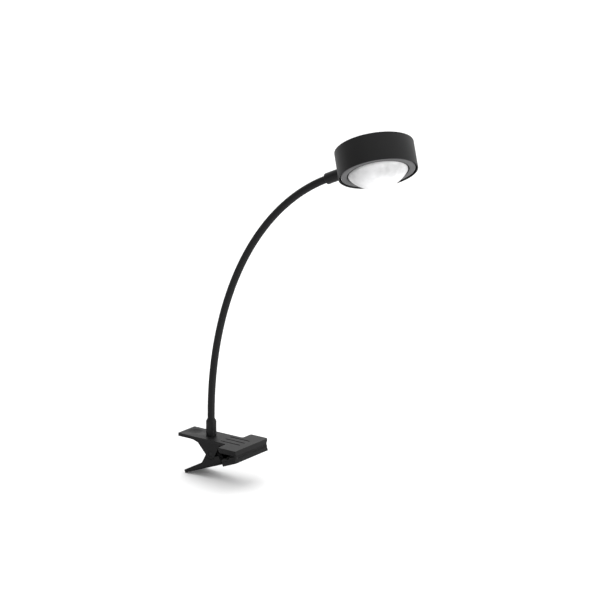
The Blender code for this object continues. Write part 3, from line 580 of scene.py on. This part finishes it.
def lower_jaw():
    outline = t_outline(-LOWER_LEVER_REACH, LOWER_JAW_REAR, LOWER_JAW_FRONT, LOWER_JAW_CORNER)
    jaw = prism("clip_bottom", outline, LOWER_BOTTOM, LOWER_FLOOR, flat, "clip_plastic", LOWER)
    wide = JAW_WIDTH / 2
    step = [(LOWER_JAW_REAR, -wide, JAW_CORNER), (LOWER_JAW_FRONT, -wide), (LOWER_JAW_FRONT, wide),
            (LOWER_JAW_REAR, wide, JAW_CORNER)]
    step = rounded(step, LOWER_JAW_CORNER, 6)
    sunk = LOWER_BOTTOM + 0.8 * MM
    start = math.degrees(math.atan2(SHOULDER[1], SHOULDER[0])) + 360
    cheek_end = -LOWER_LEVER_REACH + MM
    cheek = [(cheek_end, sunk), (cheek_end, LOWER_FLOOR + 0.1 * MM), SHOULDER]
    cheek += arc((0, 0), CHEEK_RADIUS, start, 322, 24) + [TOE, (TOE[0] + MM, sunk)]
    rear_angle = tangent_point(BROW, INNER_EAR_RADIUS, -1)
    front_angle = tangent_point(TOE, INNER_EAR_RADIUS, 1)
    ear = [(INNER_SHOULDER[0], sunk), INNER_SHOULDER, BROW]
    ear += arc((0, 0), INNER_EAR_RADIUS, rear_angle % 360, front_angle % 360, 28)
    ear += [TOE, (TOE[0], sunk)]
    inner = LEVER_WIDTH / 2 - EAR_THICKNESS - 0.3 * MM
    parts = [prism("step", step, LOWER_BOTTOM - LOWER_JAW_STEP, sunk, flat, base=LOWER)]
    for hand in (-1, 1):
        near = hand * (inner - 2.5 * MM)
        parts.append(prism("cheek", cheek, *sorted((near, hand * LEVER_WIDTH / 2)), side, base=LOWER))
        parts.append(prism("ear", ear, *sorted((near, hand * inner)), side, base=LOWER))
    combine(jaw, parts, "UNION")
    cuts = [rod(PIN_RADIUS + 0.2 * MM, -LEVER_WIDTH, LEVER_WIDTH, 32, LOWER, along_y(0, 0))]
    combine(jaw, cuts, "DIFFERENCE", edge=0.2 * MM)
    settle(jaw, "lower_clip", "lower_jaw")


def lower_pad():
    """Ribs run forward to a lip, and the lip's face has a fine rib of its own between each pair."""
    bottom, top = LOWER_FLOOR + 0.05 * MM, LOWER_FLOOR + 3.0 * MM
    half = JAW_WIDTH / 2 - PAD_INSET
    rear, ahead = LOWER_JAW_REAR + PAD_INSET, LOWER_JAW_FRONT + LIP_OVERHANG
    plan = [(rear, -half, JAW_CORNER), (ahead + MM, -half), (ahead + MM, half), (rear, half, JAW_CORNER)]
    pad = prism("pad_bottom", rounded(plan, PAD_CORNER, 8), bottom, top, flat, "pad_rubber", LOWER)
    face = [(ahead - 0.4 * MM, bottom - MM), (ahead + 0.9 * MM, top - 0.9 * MM),
            (ahead + 0.4 * MM, top - 0.15 * MM), (ahead - 0.6 * MM, top + 0.2 * MM),
            (ahead + 4 * MM, top + 0.2 * MM), (ahead + 4 * MM, bottom - MM)]
    cuts = [prism("cut", face, -JAW_WIDTH, JAW_WIDTH, side, base=LOWER)]
    for slot in range(RIB_COUNT - 1):
        middle = (slot - (RIB_COUNT - 2) / 2) * RIB_PITCH
        cuts.append(box((rear - MM, middle - 0.8 * MM, top - 1.6 * MM),
                        (ahead - 1.6 * MM, middle + 0.8 * MM, top + MM), LOWER))
    for slot in range(2 * RIB_COUNT - 3):
        middle = (slot - RIB_COUNT + 2) * RIB_PITCH / 2
        cuts.append(box((ahead - 0.4 * MM, middle - 0.4 * MM, bottom - MM),
                        (ahead + 2 * MM, middle + 0.4 * MM, top - 1.0 * MM), LOWER))
    middle = rear + 9.0 * MM
    cuts.append(box((middle - 1.5 * MM, -JAW_WIDTH, top - 1.2 * MM),
                    (middle + 1.5 * MM, JAW_WIDTH, top + MM), LOWER))
    combine(pad, cuts, "DIFFERENCE", edge=0.15 * MM, segments=2)
    settle(pad, "lower_clip", "lower_jaw_pad")


# Neck

def bend_angle(length):
    share = min(max((length - FERRULE_HEIGHT) / (NECK_LENGTH - FERRULE_HEIGHT), 0.0), 1.0)
    return BEND_STEADY * share + BEND_LATE * share**3


def neck_direction(length):
    angle = bend_angle(length)
    return Vector((math.sin(angle) * math.cos(NECK_TURN), math.sin(angle) * math.sin(NECK_TURN),
                   math.cos(angle)))


PATH = [Vector((NECK_X, 0, PLATE_TOP))]
PATH_STEP = 0.25 * MM
while len(PATH) * PATH_STEP < NECK_LENGTH + 20 * MM:
    PATH.append(PATH[-1] + neck_direction((len(PATH) - 0.5) * PATH_STEP) * PATH_STEP)


def neck_point(length):
    spot = max(length / PATH_STEP, 0)
    i = int(spot)
    return PATH[i].lerp(PATH[i + 1], spot - i)


def swept(name, start, stop, outside, inside, sides, step, look):
    """A tube along the neck from one length to another. outside gives its radius at a length."""
    count = max(2, math.ceil((stop - start) / step))
    lengths = [start + (stop - start) * i / count for i in range(count + 1)]
    shape = bmesh.new()

    def ring(length, radius):
        centre, ahead = neck_point(length), neck_direction(length)
        over = NECK_SIDE.cross(ahead)
        return [shape.verts.new(centre + (NECK_SIDE * math.cos(a) + over * math.sin(a)) * radius)
                for a in (math.tau * k / sides for k in range(sides))]

    rings = [ring(length, outside(length)) for length in lengths]
    if inside:
        rings += [ring(length, inside) for length in reversed(lengths)]
        pairs = list(zip(rings, rings[1:] + rings[:1]))
    else:
        pairs = list(zip(rings, rings[1:]))
        shape.faces.new(rings[0])
        shape.faces.new(rings[-1])
    for low, high in pairs:
        for k in range(sides):
            m = (k + 1) % sides
            shape.faces.new((low[k], low[m], high[m], high[k]))
    return make_object(name, shape, look, sharp=60)


def hose_radius(length):
    """A wound strip: flat crests with a narrow valley between them."""
    share = (length / (2.2 * MM)) % 1.0
    return 2.6 * MM - 0.32 * MM * max(0.0, 1 - abs(share - 0.5) / 0.18)


def neck():
    """Each piece runs from the middle of one stretch to the middle of the next, over one joint."""
    for k in range(1, BEND_COUNT + 1):
        start = FERRULE_HEIGHT + (k - 1) * STRETCH if k > 1 else 3.4 * MM
        stop = FERRULE_HEIGHT + k * STRETCH if k < BEND_COUNT else NECK_LENGTH + 2.4 * MM
        lead_start = start if k > 1 else 0.0
        sleeve = swept(f"sleeve_{k}", start, stop, lambda s: NECK_RADIUS, SLEEVE_BORE, 48, 1.3 * MM,
                       "neck_sleeve")
        hose = swept(f"hose_{k}", start, stop, hose_radius, 1.7 * MM, 28, 0.36 * MM, "steel")
        lead = swept(f"lead_{k}", lead_start, stop, lambda s: 1.1 * MM, None, 20, 1.3 * MM, "lead_sheath")
        for piece, part in ((sleeve, "neck_sleeve"), (hose, "neck_hose"), (lead, "neck_lead")):
            nodes = [f"{part}_{k}"] + ([f"{part}_{k + 1}"] if k == BEND_COUNT else [])
            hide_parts(*nodes)
            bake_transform(piece)


def axes(origin, up, across):
    z = up.normalized()
    x = across.cross(z).normalized()
    place = Matrix((x, z.cross(x), z)).transposed().to_4x4()
    place.translation = origin
    return place


ALONG = neck_direction(NECK_LENGTH)
HEAD_CENTRE = Vector(JOINTS["head_swivel"]["pos_m"])
LEVEL = axes(HEAD_CENTRE, ALONG.cross(NECK_SIDE), NECK_SIDE).to_3x3().to_4x4()
HEAD = Matrix.Translation(HEAD_CENTRE) @ Matrix.Rotation(HEAD_ROLL, 4, ALONG) @ LEVEL
HOLDER = HEAD @ Matrix.Rotation(math.pi / 2, 4, "Y")


def collar():
    neck_end = -(HEAD_RADIUS + COLLAR_LENGTH)
    face, socket, stud_end = -(HEAD_RADIUS + 0.12 * MM), neck_end + 4.0 * MM, -30.0 * MM
    mouth = NECK_RADIUS + 0.06 * MM
    profile = [(STUD_BORE, stud_end), (STUD_BORE, socket), (mouth, socket), (mouth, neck_end, 0.1 * MM),
               (COLLAR_RADIUS, neck_end, 1.9 * MM), (COLLAR_RADIUS, face, 0.35 * MM),
               (STUD_RADIUS, face, 0.05 * MM)]
    profile = threaded(profile, -HEAD_RADIUS + 0.5 * MM, stud_end, STUD_RADIUS)
    piece = turned("collar_turned", profile, 80, "black_paint", HOLDER, corner=0.05 * MM, steps=8)
    settle(piece, "neck_9", "head_collar")
    washer = turned("washer_head", [(3.3 * MM, -35.3 * MM), (5.6 * MM, -35.3 * MM), (5.6 * MM, -34.5 * MM),
                                    (3.3 * MM, -34.5 * MM)], 64, "pad_rubber", HOLDER, corner=0.2 * MM)
    settle(washer, "neck_9", "friction_washer")
    nut = hex_nut("nut_head", 8.0 * MM, 3.05 * MM, -34.2 * MM, -31.0 * MM, HOLDER)
    settle(nut, "neck_9", "collar_nut")


# Head

def paint_lens_tip_highlight(tip):
    """Painted highlight: the lens turns to its palest tone toward the dome's tip; away from the tip the
    cloud pattern gives darker patches.
    """
    tree = LOOKS["lens_frosted"].node_tree
    tint = next(n for n in tree.nodes if n.bl_idname == "ShaderNodeMix")
    clouds = tint.inputs[0].links[0].from_node
    place = next(n for n in tree.nodes if n.bl_idname == "ShaderNodeTexCoord")
    apart = node(tree, "ShaderNodeVectorMath", operation="DISTANCE")
    apart.inputs[1].default_value = tip
    tree.links.new(place.outputs["Object"], apart.inputs[0])
    # painted highlight: strongest within 6 mm of the dome's tip, gone by 26 mm
    near = ramp(tree, apart.outputs["Value"], 6 * MM, 26 * MM, 1.0, 0.0)
    patches = ramp(tree, clouds.outputs["Fac"], 0.38, 0.62, 0.0, 0.55, "LINEAR")
    total = node(tree, "ShaderNodeMath", operation="ADD", use_clamp=True)
    tree.links.new(near, total.inputs[0])
    tree.links.new(patches, total.inputs[1])
    tree.links.new(total.outputs["Value"], tint.inputs[0])


def at_depth(depth):
    return depth * MM - HEAD_DEPTH / 2


def around(count, radius, start=0.0):
    for i in range(count):
        angle = math.radians(start) + math.tau * i / count
        yield radius * math.cos(angle), radius * math.sin(angle)


def head_shell():
    back, inner = HEAD_DEPTH / 2, HEAD_RADIUS - 1.1 * MM
    roof, rim = back - 1.4 * MM, -HEAD_DEPTH / 2
    wall = HEAD_RADIUS - 0.1 * MM
    profile = [(0, roof), (inner, roof, 0.8 * MM), (inner, rim, 0.15 * MM), (wall, rim, 0.35 * MM),
               (wall, back, 1.1 * MM), (0, back)]
    shell = turned("shell_turned", profile, 160, "head_plastic", HEAD, corner=0.3 * MM, steps=6)
    low, high = (-inner - 0.5 * MM, -6.5 * MM, -6.2 * MM), (-35.6 * MM, 6.5 * MM, 6.5 * MM)
    posts = [box(low, high, HEAD)]
    for x, y in around(3, SCREW_CIRCLE, 60):
        posts.append(rod(3.0 * MM, at_depth(18.0), roof + 0.7 * MM, 32, HEAD, Matrix.Translation((x, y, 0))))
    combine(shell, posts, "UNION")
    across = Matrix.Rotation(math.pi / 2, 4, "Y")
    cuts = [rod(3.2 * MM, -HEAD_RADIUS - MM, -30 * MM, 32, HEAD, across)]
    for x, y in around(3, SCREW_CIRCLE, 60):
        cuts.append(rod(1.2 * MM, at_depth(17.0), at_depth(24.0), 20, HEAD, Matrix.Translation((x, y, 0))))
    combine(shell, cuts, "DIFFERENCE", sharp=35)
    settle(shell, "head", "head_shell")


def head_front():
    face, back, skirt = at_depth(0.8), at_depth(2.4), at_depth(7.5)
    outer_edge, inner, flange = RING_OUTER - 0.7 * MM, RING_OUTER - 1.6 * MM, at_depth(6.3)
    profile = [(RING_INNER, back), (RING_INNER, face, 0.3 * MM), (outer_edge, face, 0.3 * MM),
               (outer_edge, flange, 0.1 * MM), (RING_OUTER, flange, 0.1 * MM),
               (RING_OUTER, skirt, 0.2 * MM), (inner, skirt, 0.2 * MM), (inner, back, 0.4 * MM)]
    ring = turned("ring_turned", profile, 144, "ring_grey", HEAD, corner=0.15 * MM)
    settle(ring, "head", "front_ring")
    low, high = at_depth(1.2), at_depth(2.5)
    profile = [(29.15 * MM, low), (30.3 * MM, low), (30.3 * MM, high), (29.15 * MM, high)]
    gasket = turned("gasket", profile, 128, "pad_rubber", HEAD, corner=0.3 * MM)
    settle(gasket, "head", "lens_gasket")
    centre, wall, steps = LENS_SPHERE - LENS_RISE, 2.0 * MM, 28

    def dome(sphere, edge):
        radii = [edge * i / steps for i in range(steps + 1)]
        return [(r, centre - math.sqrt(sphere**2 - r**2) - HEAD_DEPTH / 2) for r in radii]

    border = [(LENS_RADIUS, at_depth(2.8)), (31.5 * MM, at_depth(2.8)), (31.5 * MM, at_depth(4.3)),
              (LENS_RADIUS - wall, at_depth(4.3))]
    outer, inside = dome(LENS_SPHERE, LENS_RADIUS), dome(LENS_SPHERE - wall, LENS_RADIUS - wall)
    # painted highlight on the lens, palest toward its tip
    paint_lens_tip_highlight(HEAD @ Vector((0, 0, outer[0][1])))
    lens = turned("lens_dome", outer + border + list(reversed(inside)), 128, "lens_frosted", HEAD)
    settle(lens, "head", "lens")


def light_engine():
    cone = [(31.5, 4.7), (31.5, 5.5), (28.6, 5.5), (14.6, 13.2), (13.6, 13.2), (27.6, 4.7)]
    reflector = turned("reflector_cone", [(r * MM, at_depth(d)) for r, d in cone], 96, "reflector_white",
                       HEAD, corner=0.15 * MM)
    settle(reflector, "head", "reflector")
    low, high = at_depth(13.5), at_depth(14.9)
    spots = list(around(3, SCREW_CIRCLE, 60))
    profile = [(0, low), (26 * MM, low), (26 * MM, high), (0, high)]
    board = turned("board_disc", profile, 96, "board_white", HEAD, corner=0.1 * MM)
    holes = [rod(1.3 * MM, low - MM, high + MM, 20, HEAD, Matrix.Translation((x, y, 0))) for x, y in spots]
    settle(combine(board, holes, "DIFFERENCE"), "head", "led_board")
    disc_low, disc_high = low - 0.8 * MM, low - 0.1 * MM
    profile = [(0, disc_low), (10.8 * MM, disc_low), (10.8 * MM, disc_high), (0, disc_high)]
    array = turned("chip_array", profile, 64, "led_phosphor", HEAD, corner=0.1 * MM)
    half = 1.5 * MM
    chips = [box((x - half, y - half, low - 1.4 * MM), (x + half, y + half, disc_high - 0.2 * MM), HEAD)
             for x, y in [(0.0, 0.0)] + list(around(8, 8 * MM))]
    settle(combine(array, chips, "UNION", edge=0.12 * MM, segments=2), "head", "led_array")
    sink_low, sink_high = high + 0.1 * MM, high + 2.7 * MM
    profile = [(0, sink_low), (26.5 * MM, sink_low), (26.5 * MM, sink_high), (0, sink_high)]
    sink = turned("sink_body", profile, 96, "aluminium", HEAD, corner=0.2 * MM)
    fins = [box((-15 * MM, i * 4.4 * MM - 0.6 * MM, sink_high - 0.6 * MM),
                (15 * MM, i * 4.4 * MM + 0.6 * MM, sink_high + 3.9 * MM), HEAD) for i in range(-3, 4)]
    combine(sink, fins, "UNION")
    holes = [rod(1.5 * MM, sink_low - MM, sink_high + MM, 20, HEAD, Matrix.Translation((x, y, 0)))
             for x, y in spots]
    settle(combine(sink, holes, "DIFFERENCE", edge=0.15 * MM, segments=2), "head", "heat_sink")
    for i, (x, y) in enumerate(spots, start=1):
        top, seat, tip = at_depth(11.9), at_depth(13.3), at_depth(23.4)
        profile = [(0, top), (2.3 * MM, top, 0.6 * MM), (2.3 * MM, seat), (1.1 * MM, seat)]
        profile = threaded(profile, seat + 0.6 * MM, tip - 0.8 * MM, 1.15 * MM, 0.7 * MM, 0.2 * MM)
        profile += [(0.4 * MM, tip), (0, tip)]
        screw = turned(f"screw_{i}", profile, 32, "steel", HEAD, Matrix.Translation((x, y, 0)), 0.05 * MM)
        slots = [box((x - a, y - b, top - MM), (x + a, y + b, top + 0.7 * MM), HEAD)
                 for a, b in ((1.5 * MM, 0.25 * MM), (0.25 * MM, 1.5 * MM))]
        settle(combine(screw, slots, "DIFFERENCE", sharp=50), "head", f"board_screw_{i}")
    points = [(-29.2, 0, 0), (-28.4, 0, -0.1), (-27.5, 0, -0.8), (-26.8, 0, -2.0), (-26.6, 0, -3.4)]
    path = smooth_path([HEAD @ (Vector(p) * MM) for p in points])
    lead = wire("lead_head", path, 0.8 * MM, "lead_sheath", 20)
    settle(lead, "head", "head_lead")


upper_jaw()
upper_pad()
pivot_parts()
spring()
base_parts()
lower_jaw()
lower_pad()
neck()
collar()
head_shell()
head_front()
light_engine()


# Floor, light and camera

SKY_LOW, SKY_HIGH, SKY_BEHIND = 0.2, 1.25, 1.1
SKY_BRIGHT_SIDE = (-0.42, 0.91, 0.0)

lowest = min(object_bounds()[0].z, size_before[0][2])
shape = bmesh.new()
bmesh.ops.create_grid(shape, x_segments=8, y_segments=8, size=20.0)
floor = make_object("floor", shape, None)
floor.location = (0, 0, lowest - 0.2 * MM)
floor_look = finish_material("floor", (0.9, 0.9, 0.9), 0.9, spread=0.01, specular=0.0, grain=900.0)
floor.data.materials.append(floor_look)

world = bpy.data.worlds.new("studio")
world.use_nodes = True
tree = world.node_tree
sky = node(tree, "ShaderNodeTexCoord")
split = node(tree, "ShaderNodeSeparateXYZ")
tree.links.new(sky.outputs["Generated"], split.inputs["Vector"])
rise = ramp(tree, split.outputs["Z"], 0.0, 0.9, SKY_LOW, SKY_HIGH)
turn = node(tree, "ShaderNodeVectorMath", operation="DOT_PRODUCT")
turn.inputs[1].default_value = SKY_BRIGHT_SIDE
tree.links.new(sky.outputs["Generated"], turn.inputs[0])
back = ramp(tree, turn.outputs["Value"], -0.2, 0.9, 0.0, SKY_BEHIND)
total = node(tree, "ShaderNodeMath", operation="ADD")
tree.links.new(rise, total.inputs[0])
tree.links.new(back, total.inputs[1])
tree.links.new(total.outputs["Value"], tree.nodes["Background"].inputs["Strength"])
tree.nodes["Background"].inputs["Color"].default_value = (1.0, 1.0, 1.0, 1.0)
bpy.context.scene.world = world


def area_light(name, place, target, size, power):
    light = bpy.data.lights.new(name, "AREA")
    light.shape, light.size, light.energy = "DISK", size, power
    lamp = bpy.data.objects.new(name, light)
    bpy.context.scene.collection.objects.link(lamp)
    lamp.location = place
    lamp.rotation_mode = "QUATERNION"
    lamp.rotation_quaternion = (Vector(target) - Vector(place)).to_track_quat("-Z", "Y")


area_light("over", (-0.3, 0.9, 1.8), (0, 0, 0.1), 1.4, 4.0)
area_light("right", (1.5, 0.1, 0.13), (0, 0, 0.13), 0.3, 14.0)

ORBIT, ELEVATION = math.radians(36.51), math.radians(14.59)
CAMERA_RIGHT_MM, CAMERA_UP_MM, CAMERA_BACK_MM = 91.83, 140.22, 2250
SENSOR_WIDTH_MM, FOCAL_LENGTH_MM = 36.0, 130.3
right = Vector((math.cos(ORBIT), math.sin(ORBIT), 0))
ahead = Vector((-math.sin(ORBIT) * math.cos(ELEVATION), math.cos(ORBIT) * math.cos(ELEVATION),
                -math.sin(ELEVATION)))
above = right.cross(ahead)
camera = bpy.data.objects.new("camera", bpy.data.cameras.new("camera"))
bpy.context.scene.collection.objects.link(camera)
aim = Vector((NECK_X, 0, PLATE_TOP))
place = Matrix((right, above, -ahead)).transposed().to_4x4()
place.translation = (aim + right * CAMERA_RIGHT_MM * MM + above * CAMERA_UP_MM * MM
                     - ahead * CAMERA_BACK_MM * MM)
camera.matrix_world = place
camera.data.sensor_width = SENSOR_WIDTH_MM
camera.data.lens = FOCAL_LENGTH_MM
camera.data.clip_start, camera.data.clip_end = 0.05, 60.0
bpy.context.scene.camera = camera
bpy.context.scene.view_settings.view_transform = "Standard"
